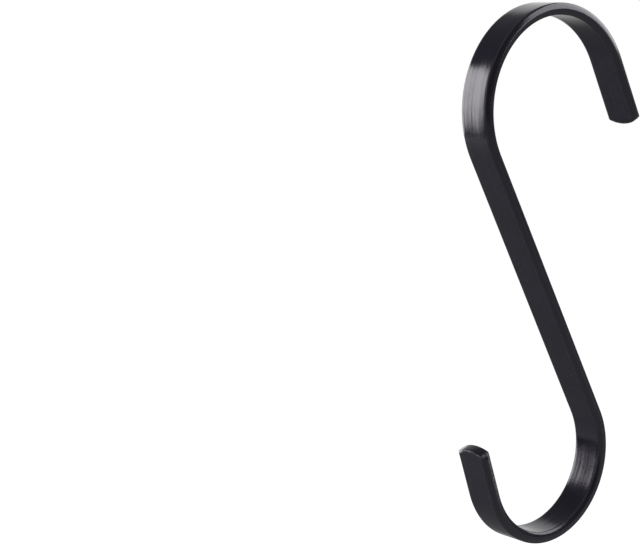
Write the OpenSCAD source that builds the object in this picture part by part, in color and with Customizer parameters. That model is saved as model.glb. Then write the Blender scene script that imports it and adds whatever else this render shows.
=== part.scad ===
// S hook bent from one length of flat steel bar.
// The large upper bend hangs over a rail and the smaller lower bend takes the load.
// X runs across the two mouths, Y across the width of the bar and Z up.
// The origin is the centre of the upper bend, where the middle of the rail would be.
// Lengths are in millimetres and turns in degrees.

/* [Bar] */
// Width of the flat bar
bar_w = 6; // [4:0.5:12]
// Thickness of the flat bar
bar_t = 2; // [1.6:0.1:3]
// Height of the convex arc across each narrow side
side_crown = 0.35; // [0.1:0.05:0.5]
// Radius along the four long edges, where the narrow sides meet the wide faces
bar_edge_r = 0.25; // [0.1:0.05:0.4]

/* [Shank] */
// Straight length between the two bends
shank_l = 52.5; // [35:0.5:90]
// Lean of the shank from upright
shank_lean = 27.2; // [15:0.1:35]

/* [Upper bend] */
// Inside radius, which sits over the rail
upper_r = 15; // [10:0.5:22]
// Angle that the bar turns through
upper_turn = 182; // [165:1:200]
// Straight run from the bend to the corners of the cut end
upper_tip_l = 11.3; // [4:0.1:20]

/* [Lower bend] */
// Inside radius, which carries the load
lower_r = 12.4; // [8:0.1:18]
// Angle that the bar turns through
lower_turn = 190; // [165:1:200]
// Straight run from the bend to the corners of the cut end
lower_tip_l = 8.4; // [4:0.1:16]

/* [Cut ends] */
// Height of the convex arc across each end, from its corners to its middle
end_crown = 0.75; // [0.2:0.05:1.5]
// Radius on the two edges of each end, where it meets the wide faces
end_edge_r = 0.2; // [0.05:0.05:0.4]

/* [Hidden] */
$fn = 96;

coating = [0.16, 0.15, 0.18];

// Radius of the arc that has the height crown over a side of this width
function arc_r(width, crown) = (width * width / 4 + crown * crown) / (2 * crown);

// Arc across each narrow side: its radius, and how far its centre is from the middle of the bar
side_arc_r = arc_r(bar_t, side_crown);
side_arc_y = bar_w / 2 - side_arc_r;
// Centres of the four round edges, which touch both the wide faces and the arcs
edge_x = bar_t / 2 - bar_edge_r;
edge_y = side_arc_y + sqrt(pow(side_arc_r - bar_edge_r, 2) - pow(edge_x, 2));
// Arc across each cut end
end_arc_r = arc_r(bar_w, end_crown);
// Length of the piece that holds the arc, with room behind the corners for their rounding
end_l = end_crown + 4 * end_edge_r;
// Each tip starts this far inside its bend, so that the two are one body at every turn
tip_lap = 0.05;
// The tips are smaller than the bend by this much on every side, so that no two faces coincide
tip_inset = 0.005;

// Rectangle centred on the origin with round corners
module round_rect(size, r) {
    square([size.x - 2 * r, size.y], center = true);
    square([size.x, size.y - 2 * r], center = true);
    for (x = [-1, 1], y = [-1, 1])
        translate([x * (size.x / 2 - r), y * (size.y / 2 - r)]) circle(r);
}

// Slice of the arc across one narrow side, between its two round edges
module side_arc(inset) {
    reach = (bar_w / 2 + 1 - side_arc_y) / (edge_y - side_arc_y);
    intersection() {
        translate([0, side_arc_y]) circle(side_arc_r - inset);
        polygon([
            [0, side_arc_y],
            [reach * edge_x, bar_w / 2 + 1],
            [-reach * edge_x, bar_w / 2 + 1]
        ]);
    }
}

// Section of the bar: its thickness along X and its width along Y
module bar_section(inset = 0) {
    square([bar_t - 2 * inset, 2 * edge_y], center = true);
    for (side = [0, 1]) mirror([0, side]) {
        side_arc(inset);
        for (x = [-1, 1]) translate([x * edge_x, edge_y]) circle(bar_edge_r - inset);
    }
}

// Straight bar that starts on the plane Y = 0 and runs along +Y, its width along Z
module straight(length, inset = 0) {
    rotate([-90, 0, 0]) linear_extrude(length) bar_section(inset);
}

// Bend that starts on the plane Y = 0, heads along +Y and turns towards +X
module bend(inside_r, turn) {
    mid_r = inside_r + bar_t / 2;
    translate([mid_r, 0, 0])
        rotate_extrude(angle = turn, start = 180 - turn)
            translate([mid_r, 0]) bar_section();
}

// Round plate as thick as the tip, with round edges: it shapes the cut ends
module end_plate() {
    plate_t = bar_t - 2 * tip_inset;
    rotate([0, 90, 0]) rotate_extrude() intersection() {
        round_rect([2 * end_arc_r, plate_t], end_edge_r);
        translate([0, -plate_t]) square([end_arc_r, 2 * plate_t]);
    }
}

// Cut end: the last stretch of the tip, whose middle stands end_crown past its corners
module cut_end() {
    intersection() {
        straight(end_l, tip_inset);
        translate([0, end_l - end_arc_r, 0]) end_plate();
    }
}

// Straight tip with its cut end, which starts on the plane Y = 0 and reaches tip_lap behind it
module tip(tip_l) {
    run_l = tip_l + end_crown - end_l;
    translate([0, -tip_lap, 0]) straight(tip_lap + run_l, tip_inset);
    translate([0, run_l, 0]) cut_end();
}

// Bend with its tip, from the end of the shank onwards
module arm(inside_r, turn, tip_l) {
    mid_r = inside_r + bar_t / 2;
    bend(inside_r, turn);
    translate([mid_r, 0, 0])
        rotate([0, 0, -turn])
            translate([-mid_r, 0, 0]) tip(tip_l);
}

// The bent bar flat on the XY plane, with the middle of an upright shank at the origin
module bent_bar() {
    translate([0, -shank_l / 2, 0]) straight(shank_l);
    translate([0, shank_l / 2, 0]) arm(upper_r, upper_turn, upper_tip_l);
    rotate([0, 0, 180])
        translate([0, shank_l / 2, 0]) arm(lower_r, lower_turn, lower_tip_l);
}

module hook() {
    color(coating)
        rotate([90, 0, 0])
            rotate([0, 0, shank_lean])
                translate([-upper_r - bar_t / 2, -shank_l / 2, 0]) bent_bar();
}

hook();
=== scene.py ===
"""S hook bent from flat steel bar, with a black baked coating, as the camera of the photograph sees it."""
from math import atan2, copysign, cos, degrees, pi, radians, sin, sqrt, tan

import bmesh
import bpy
from mathutils import Matrix, Vector


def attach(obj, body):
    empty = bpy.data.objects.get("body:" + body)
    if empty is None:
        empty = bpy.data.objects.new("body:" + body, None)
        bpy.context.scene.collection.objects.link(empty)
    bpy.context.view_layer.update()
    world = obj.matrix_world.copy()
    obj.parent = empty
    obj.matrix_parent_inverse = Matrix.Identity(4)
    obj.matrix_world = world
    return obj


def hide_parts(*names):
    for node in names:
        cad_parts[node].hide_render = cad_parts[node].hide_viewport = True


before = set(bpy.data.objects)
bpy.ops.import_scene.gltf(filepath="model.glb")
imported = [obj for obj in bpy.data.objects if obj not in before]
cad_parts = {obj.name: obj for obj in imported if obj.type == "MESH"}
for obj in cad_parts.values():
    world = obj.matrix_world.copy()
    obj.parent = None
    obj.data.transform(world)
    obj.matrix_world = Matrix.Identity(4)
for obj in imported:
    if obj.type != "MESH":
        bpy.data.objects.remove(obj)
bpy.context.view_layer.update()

MM = 0.001

# The bar and its bends in millimetres, as in the part's source
BAR_WIDTH = 6.0
BAR_THICKNESS = 2.0
EDGE_RADIUS = 0.15  # crisper than the solid's 0.25, as the photograph shows the long edges
SIDE_CROWN = 0.35
FACE_EDGE = BAR_WIDTH / 2 - SIDE_CROWN  # from the middle of the width to where a narrow side starts
SHANK_LENGTH = 52.5
SHANK_LEAN = radians(27.2)
UPPER_RADIUS = 16.0  # to the middle of the bar's thickness
UPPER_TURN = radians(182)
UPPER_TIP = 11.3
LOWER_RADIUS = 13.4
LOWER_TURN = radians(190)
LOWER_TIP = 8.4
END_CROWN = 0.75
END_EDGE = 0.2

UPPER_CENTRE = Vector((UPPER_RADIUS, 0, SHANK_LENGTH / 2))
LOWER_CENTRE = Vector((-LOWER_RADIUS, 0, -SHANK_LENGTH / 2))
ACROSS = Vector((0, 1, 0))
# How far along the straight bar each cut end stood from the middle of the shank
UPPER_END = SHANK_LENGTH / 2 + UPPER_RADIUS * UPPER_TURN + UPPER_TIP + END_CROWN
LOWER_END = SHANK_LENGTH / 2 + LOWER_RADIUS * LOWER_TURN + LOWER_TIP + END_CROWN


# ---------------------------------------------------------------- the bar

def half_turn(point):
    """The lower arm is laid out as the upper one is, turned half round across the bar."""
    return Vector((-point.x, point.y, -point.z))


def place_on_arm(point, radius, turn):
    """Where a point of the upper arm was on the bar before it was bent: through it, across it and along it."""
    from_centre = point - Vector((radius, 0, SHANK_LENGTH / 2))
    angle = atan2(from_centre.z, -from_centre.x) % (2 * pi)
    bend_start = SHANK_LENGTH / 2
    if angle <= turn:
        outwards = sqrt(from_centre.x ** 2 + from_centre.z ** 2) - radius
        return Vector((-outwards, point.y, bend_start + radius * angle))
    flat = Matrix.Rotation(-turn, 3, "Y") @ from_centre
    return Vector((flat.x + radius, point.y, bend_start + radius * turn + flat.z))


def before_bending(point):
    """The same point on the straight bar, which stood along Z."""
    if point.z > SHANK_LENGTH / 2 or point.x > UPPER_RADIUS:
        return place_on_arm(point, UPPER_RADIUS, UPPER_TURN)
    if point.z < -SHANK_LENGTH / 2 or point.x < -LOWER_RADIUS:
        return half_turn(place_on_arm(half_turn(point), LOWER_RADIUS, LOWER_TURN))
    return point.copy()


def bar_section(bm):
    """Section with round corners and convex narrow sides, sliced across so that the cut ends can be crowned."""
    quad = bmesh.ops.create_grid(bm, x_segments=1, y_segments=1, size=0.5)
    bmesh.ops.scale(bm, vec=(BAR_THICKNESS, BAR_WIDTH, 1), verts=quad["verts"])
    bmesh.ops.bevel(bm, geom=bm.verts[:], offset=EDGE_RADIUS, offset_type="OFFSET", segments=5,
                    profile=0.5, affect="VERTICES", material=-1)
    for edge in [e for e in bm.edges if abs(e.verts[0].co.y - e.verts[1].co.y) < 1e-4]:
        bmesh.ops.subdivide_edges(bm, edges=[edge], cuts=8)
    for v in bm.verts:
        v.co.y -= copysign(arc_drop(v.co.x, BAR_THICKNESS, SIDE_CROWN), v.co.y)
    wide = FACE_EDGE - EDGE_RADIUS
    levels = {round(v.co.y, 4) for v in bm.verts} | {wide * k / 8 for k in range(-8, 9)}
    for level in sorted(levels)[1:-1]:
        bmesh.ops.bisect_plane(bm, geom=whole(bm.faces), dist=2e-4, plane_co=(0, level, 0), plane_no=ACROSS)
    return bm.faces[:]


def whole(faces):
    """The faces with all their edges and corners."""
    return [*{v for f in faces for v in f.verts}, *{e for f in faces for e in f.edges}, *faces]


def only_faces(geometry):
    return [g for g in geometry if isinstance(g, bmesh.types.BMFace)]


def straight(bm, faces, direction, length, parts):
    """Draws the section out along a straight run."""
    for _ in range(parts):
        faces = only_faces(bmesh.ops.extrude_face_region(bm, geom=whole(faces))["geom"])
        corners = list({v for f in faces for v in f.verts})
        bmesh.ops.translate(bm, vec=direction * (length / parts), verts=corners)
    return faces


def bend(bm, faces, centre, angle):
    """Carries the section round a bend, a step for each degree."""
    turned = bmesh.ops.spin(bm, geom=whole(faces), cent=centre, axis=ACROSS, dvec=(0, 0, 0), angle=angle,
                            steps=round(abs(degrees(angle))), use_merge=False, use_duplicate=False)
    return only_faces(turned["geom_last"])


def arc_drop(place, width, crown):
    """How far a convex side lies behind its middle, where it stands crown proud over its width."""
    arc = (width ** 2 / 4 + crown ** 2) / (2 * crown)
    return arc - sqrt(arc ** 2 - place ** 2)


def crown_end(bm, faces, outwards):
    """Rounds the rim of an end step by step, then curves the end across the bar."""
    steps = 5
    ring = {}
    for v in {v for f in faces for v in f.verts}:
        wall = sum((f.normal for f in v.link_faces if f not in faces), Vector())
        ring[v] = (wall - wall.dot(outwards) * outwards).normalized()
    bmesh.ops.translate(bm, vec=outwards * -END_EDGE, verts=list(ring))
    rounded = list(ring)
    for k in range(steps):
        here, there = radians(90 * k / steps), radians(90 * (k + 1) / steps)
        faces = only_faces(bmesh.ops.extrude_face_region(bm, geom=whole(faces))["geom"])
        inner = {}
        for v in {v for f in faces for v in f.verts}:
            inner[v] = next(ring[e.other_vert(v)] for e in v.link_edges if e.other_vert(v) in ring)
            v.co += END_EDGE * (outwards * (sin(there) - sin(here)) - inner[v] * (cos(here) - cos(there)))
        ring = inner
        rounded += inner
    for v in rounded:
        v.co -= outwards * arc_drop(v.co.y, BAR_WIDTH, END_CROWN)


def make_hook(paint):
    bm = bmesh.new()
    faces = bar_section(bm)
    tip_up = Matrix.Rotation(UPPER_TURN, 3, "Y") @ Vector((0, 0, 1))
    tip_down = Matrix.Rotation(LOWER_TURN, 3, "Y") @ Vector((0, 0, -1))
    verts = bm.verts[:]
    bmesh.ops.translate(bm, vec=(0, 0, SHANK_LENGTH / 2), verts=verts)
    bmesh.ops.rotate(bm, cent=UPPER_CENTRE, matrix=Matrix.Rotation(UPPER_TURN, 3, "Y"), verts=verts)
    bmesh.ops.translate(bm, vec=tip_up * (UPPER_TIP + END_CROWN), verts=verts)
    first_end = faces
    faces = straight(bm, faces, -tip_up, UPPER_TIP + END_CROWN, 10)
    faces = bend(bm, faces, UPPER_CENTRE, -UPPER_TURN)
    faces = straight(bm, faces, Vector((0, 0, -1)), SHANK_LENGTH, 52)
    faces = bend(bm, faces, LOWER_CENTRE, LOWER_TURN)
    faces = straight(bm, faces, tip_down, LOWER_TIP + END_CROWN, 10)
    bmesh.ops.recalc_face_normals(bm, faces=bm.faces[:])
    crown_end(bm, first_end, tip_up)
    crown_end(bm, faces, tip_down)
    bmesh.ops.recalc_face_normals(bm, faces=bm.faces[:])

    straight_bar = bm.verts.layers.float_vector.new("before_bending")
    for v in bm.verts:
        v[straight_bar] = before_bending(v.co)
    for f in bm.faces:
        f.smooth = True
    stand = Matrix.Scale(MM, 4) @ Matrix.Rotation(-SHANK_LEAN, 4, "Y") @ Matrix.Translation(-UPPER_CENTRE)
    bmesh.ops.transform(bm, matrix=stand, verts=bm.verts[:])

    mesh = bpy.data.meshes.new("bent_bar")
    bm.to_mesh(mesh)
    bm.free()
    mesh.materials.append(paint)
    hook = bpy.data.objects.new("bent_bar", mesh)
    bpy.context.scene.collection.objects.link(hook)
    return hook


# ---------------------------------------------------------------- finishes

class Value:
    """A socket that takes part in sums."""

    def __init__(self, finish, socket):
        self.finish, self.socket = finish, socket

    def maths(self, operation, *terms):
        return self.finish.node("ShaderNodeMath", {"operation": operation}, *terms)

    def __add__(self, other):
        return self.maths("ADD", self, other)

    __radd__ = __add__

    def __sub__(self, other):
        return self.maths("SUBTRACT", self, other)

    def __rsub__(self, other):
        return self.maths("SUBTRACT", other, self)

    def __mul__(self, other):
        return self.maths("MULTIPLY", self, other)

    __rmul__ = __mul__

    def __abs__(self):
        return self.maths("ABSOLUTE", self)

    def least(self, other):
        return self.maths("MINIMUM", self, other)

    def most(self, other):
        return self.maths("MAXIMUM", self, other)

    def between(self, low, high):
        """0 below low, 1 above high and smooth between; low may be the larger one."""
        settings = {"interpolation_type": "SMOOTHSTEP", "clamp": True}
        return self.finish.node("ShaderNodeMapRange", settings, self, low, high, 0.0, 1.0)


class Finish:
    """Nodes of a material or of the world, with one method that adds any node."""

    def __init__(self, block):
        self.block = block
        block.use_nodes = True
        self.tree = block.node_tree
        self.tree.nodes.clear()

    def node(self, kind, settings=None, *values, out=0, **named):
        """Adds a node with its settings, then the values or links of its sockets, in order or by name."""
        made = self.tree.nodes.new(kind)
        for key, value in (settings or {}).items():
            setattr(made, key, value)
        sockets = dict(enumerate(made.inputs)) | {s.identifier.replace(" ", "_"): s for s in made.inputs}
        for key, value in (dict(enumerate(values)) | named).items():
            if isinstance(value, Value):
                self.tree.links.new(value.socket, sockets[key])
            else:
                sockets[key].default_value = value
        return Value(self, made.outputs[out]) if made.outputs else None

    def noise(self, place, scale=1.0, detail=2.0, roughness=0.5):
        return self.node("ShaderNodeTexNoise", {"noise_dimensions": "3D"}, Vector=place, Scale=scale,
                         Detail=detail, Roughness=roughness)

    def stretched(self, place, scales):
        return self.node("ShaderNodeVectorMath", {"operation": "MULTIPLY"}, place, scales)

    def mixed(self, amount, colour_a, colour_b):
        return self.node("ShaderNodeMix", {"data_type": "RGBA"}, Factor_Float=amount, A_Color=colour_a,
                         B_Color=colour_b, out=2)

    def towards(self, way, target):
        """1 where a way of unit length leads to the target, and less the further it turns from it."""
        return self.node("ShaderNodeVectorMath", {"operation": "DOT_PRODUCT"}, way, target, out="Value")

    def ray(self, kind):
        return self.node("ShaderNodeLightPath", out=f"Is {kind} Ray")

    def surface(self, shader):
        end = "World" if isinstance(self.block, bpy.types.World) else "Material"
        self.node(f"ShaderNodeOutput{end}", None, shader)
        return self.block


def worn_and_highlit_places(finish, bar, scuffs):
    """The sheared ends, their rims, the narrow sides, and how pale the coat is painted: worn through in patches,
    and lighter as painted highlights; all in millimetres.
    """
    through, across, along = (finish.node("ShaderNodeSeparateXYZ", None, bar, out=axis) for axis in "XYZ")
    # How far in from the nearer cut end, which is curved across the bar
    crown = across * across * (END_CROWN / (BAR_WIDTH / 2) ** 2)
    inside = (UPPER_END - crown - along).least(along + LOWER_END - crown)
    narrow_side = abs(across).between(FACE_EDGE - 0.25, FACE_EDGE + 0.05)
    cut = inside.between(0.16, 0.04)
    rim = inside.between(0.4, 0.12) * abs(through).between(0.7, 0.9).most(narrow_side)
    # Painted highlights on the lower end: a pale patch where the cut end meets the far side, and a pale line along
    # one edge of the other side
    lower_half = along.between(0.0, -1.0)
    corner_highlight = inside.between(0.6, 0.25) * across.between(1.3, 2.2) * lower_half
    lower_edge_highlight = inside.between(13.0, 4.0) * narrow_side * through.between(0.0, -0.4) * lower_half
    # Painted highlight: a faint pale line along the long edges
    long_edge_highlight = abs(through).between(0.8, 0.95) * abs(across).between(FACE_EDGE - 0.35, FACE_EDGE - 0.1)
    patchy = scuffs.between(0.44, 0.62)
    # Pale marks: worn coat in patches on the rims of the cut ends, partly painted highlight there too; painted
    # highlights near the lower end and along the long edges
    rubbed_and_highlit = (0.2 * rim * patchy).most(corner_highlight * (0.6 + 0.4 * patchy)).most(0.04 * long_edge_highlight)
    return cut, rim, narrow_side, rubbed_and_highlit.most(0.25 * lower_edge_highlight * (0.4 + 0.6 * patchy))


def black_coating():
    """Semi-gloss baked coat over rolled bar: soft lengthwise waves and fine grain, a painted highlight along the
    long edges, rough on the sheared ends, and pale there where the coat is worn and as painted highlights."""
    finish = Finish(bpy.data.materials.new("black_coating"))
    bar = finish.node("ShaderNodeAttribute", {"attribute_type": "GEOMETRY", "attribute_name": "before_bending"},
                      out="Vector")
    place = finish.node("ShaderNodeTexCoord", out="Object")

    # Noise by place on the straight bar: so many times a millimetre through it, across it and along it
    rolled = finish.noise(finish.stretched(bar, (0.8, 0.8, 0.015)), detail=1.0)
    grain = finish.noise(finish.stretched(bar, (3.2, 3.2, 0.09)), detail=3.0, roughness=0.6)
    scuffs = finish.noise(finish.stretched(bar, (1.1, 1.6, 1.6)), detail=3.0, roughness=0.65)
    shear = finish.noise(finish.stretched(bar, (1.2, 7.0, 1.2)), detail=3.0, roughness=0.7)
    # Noise in metres, the same all over
    cloud = finish.noise(place, 260.0)
    peel = finish.noise(place, 2600.0, detail=1.0)
    cut, rim, narrow_side, rubbed_and_highlit = worn_and_highlit_places(finish, bar, scuffs)

    dark = finish.mixed(cloud.between(0.35, 0.65), (0.0044, 0.0032, 0.0115, 1), (0.0060, 0.0046, 0.0140, 1))
    # Painted pale where the coat is worn through and where highlights are painted
    colour = finish.mixed(rubbed_and_highlit, dark, (0.72, 0.70, 0.74, 1))
    gloss = 0.10 + 0.08 * grain + 0.03 * cloud.between(0.4, 0.6) + 0.25 * cut + 0.15 * rim
    height = 4.5 * rolled + 0.7 * grain + 0.25 * peel + 7.0 * cut * shear + 2.5 * narrow_side * scuffs
    bump = finish.node("ShaderNodeBump", None, Strength=0.1, Distance=0.05 * MM, Height=height)
    shader = finish.node("ShaderNodeBsdfPrincipled", None, Base_Color=colour, Roughness=gloss, Metallic=0.0,
                         IOR=1.5, Specular_Tint=(0.97, 0.93, 1.0, 1), Normal=bump)
    return finish.surface(shader)


def floor_paint():
    """Pale floor: it renders near white, and a glossy surface sees it grey before the hook and paler behind it."""
    finish = Finish(bpy.data.materials.new("pale_floor"))
    place = finish.node("ShaderNodeTexCoord", out="Object")
    away = finish.node("ShaderNodeVectorMath", {"operation": "LENGTH"}, place, out="Value")
    way = finish.node("ShaderNodeVectorMath", {"operation": "NORMALIZE"}, place)
    behind = finish.towards(way, BACKDROP).between(0.64, 0.94)
    before = finish.towards(way, FOREGROUND).between(0.1, 0.75)
    white = (finish.ray("Camera") * (0.76 + 0.2 * away.between(0.9, 1.5))
             + (finish.ray("Glossy") + finish.ray("Transmission")) * (0.5 * behind + 0.38 * before))
    matt = finish.node("ShaderNodeBsdfDiffuse", Color=(0.34, 0.34, 0.34, 1))
    glow = finish.node("ShaderNodeEmission", Color=finish.mixed(white, BLACK, WHITE), Strength=1.0)
    return finish.surface(finish.node("ShaderNodeAddShader", None, matt, glow))


def studio_air(world):
    """White all round for the camera; a glossy surface sees a white backdrop behind the hook in a grey room."""
    finish = Finish(world)
    way = finish.node("ShaderNodeTexCoord", out="Generated")
    backdrop = finish.towards(way, BACKDROP).between(0.829, 0.927)
    white = finish.ray("Camera") + (finish.ray("Glossy") + finish.ray("Transmission")) * backdrop
    return finish.surface(finish.node("ShaderNodeBackground", Color=finish.mixed(white, ROOM, WHITE), Strength=1.0))


# ---------------------------------------------------------------- studio

def direction(azimuth, elevation):
    """Azimuth 0 is towards -Y and 90 towards +X, in degrees."""
    a, e = radians(azimuth), radians(elevation)
    return Vector((sin(a) * cos(e), -cos(a) * cos(e), sin(e)))


def make_floor():
    bm = bmesh.new()
    bmesh.ops.create_grid(bm, x_segments=1, y_segments=1, size=FLOOR_REACH)
    bmesh.ops.translate(bm, vec=(0, 0, FLOOR_LEVEL), verts=bm.verts[:])
    mesh = bpy.data.meshes.new("floor")
    bm.to_mesh(mesh)
    bm.free()
    mesh.materials.append(floor_paint())
    floor = bpy.data.objects.new("floor", mesh)
    bpy.context.scene.collection.objects.link(floor)


def turned_to(back, roll):
    """Rotation of a lamp or camera whose back faces this way, rolled about its own axis."""
    return back.to_track_quat("Z", "Y") @ Matrix.Rotation(radians(roll), 3, "Z").to_quaternion()


def lamp(name, shape, azimuth, elevation, distance, width, height, radiance, roll=0):
    """Soft flat lamp that faces the hook; its width and height are angles, as seen from there.

    A perfect mirror would show it at its radiance, where 1 is white.
    """
    light = bpy.data.lights.new(name, "AREA")
    light.shape = shape
    light.size = 2 * distance * tan(radians(width / 2))
    light.size_y = 2 * distance * tan(radians(height / 2))
    fill = pi / 4 if shape == "ELLIPSE" else 1
    light.energy = radiance * pi * fill * light.size * light.size_y
    stand = bpy.data.objects.new(name, light)
    bpy.context.scene.collection.objects.link(stand)
    towards = direction(azimuth, elevation)
    stand.location = MIDDLE + towards * distance
    stand.rotation_mode = "QUATERNION"
    stand.rotation_quaternion = turned_to(towards, roll)
    stand.visible_camera = False


def make_camera():
    data = bpy.data.cameras.new("camera")
    data.sensor_width = 36.0
    data.lens = CAMERA_LENS
    data.clip_start, data.clip_end = 0.01, 20
    camera = bpy.data.objects.new("camera", data)
    bpy.context.scene.collection.objects.link(camera)
    camera.location = CAMERA_PLACE
    camera.rotation_mode = "QUATERNION"
    camera.rotation_quaternion = turned_to(direction(*CAMERA_BACK), CAMERA_ROLL)
    bpy.context.scene.camera = camera


BLACK = (0, 0, 0, 1)
WHITE = (1, 1, 1, 1)
ROOM = (0.2, 0.2, 0.2, 1)  # the room round the backdrop
# Lengths in metres; directions from the hook, as azimuth and elevation
MIDDLE = Vector((-0.0022, 0, -0.0307))
FLOOR_LEVEL = -0.6
FLOOR_REACH = 4.0
BACKDROP = direction(142, 5)
FOREGROUND = direction(5, -12)
# The camera that was fitted to the outline in the photograph
CAMERA_PLACE = Vector((-0.215164, -0.204146, 0.026714))
CAMERA_LENS = 99.603
CAMERA_BACK = (-39.085, 10.418)
CAMERA_ROLL = -1.297

hook = make_hook(black_coating())
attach(hook, "root")
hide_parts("hook")

make_floor()
bpy.context.scene.world = studio_air(bpy.data.worlds.new("studio"))
lamp("left_softbox", "ELLIPSE", -148.0, 5.3, 1.4, 29, 51, 7.5)
lamp("front_softbox", "RECTANGLE", 64.5, 28.2, 0.4, 55, 41, 3.8, roll=8)
lamp("fill", "ELLIPSE", -95, 5, 1.0, 40, 40, 0.9)
make_camera()

bpy.context.scene.view_settings.view_transform = "Standard"
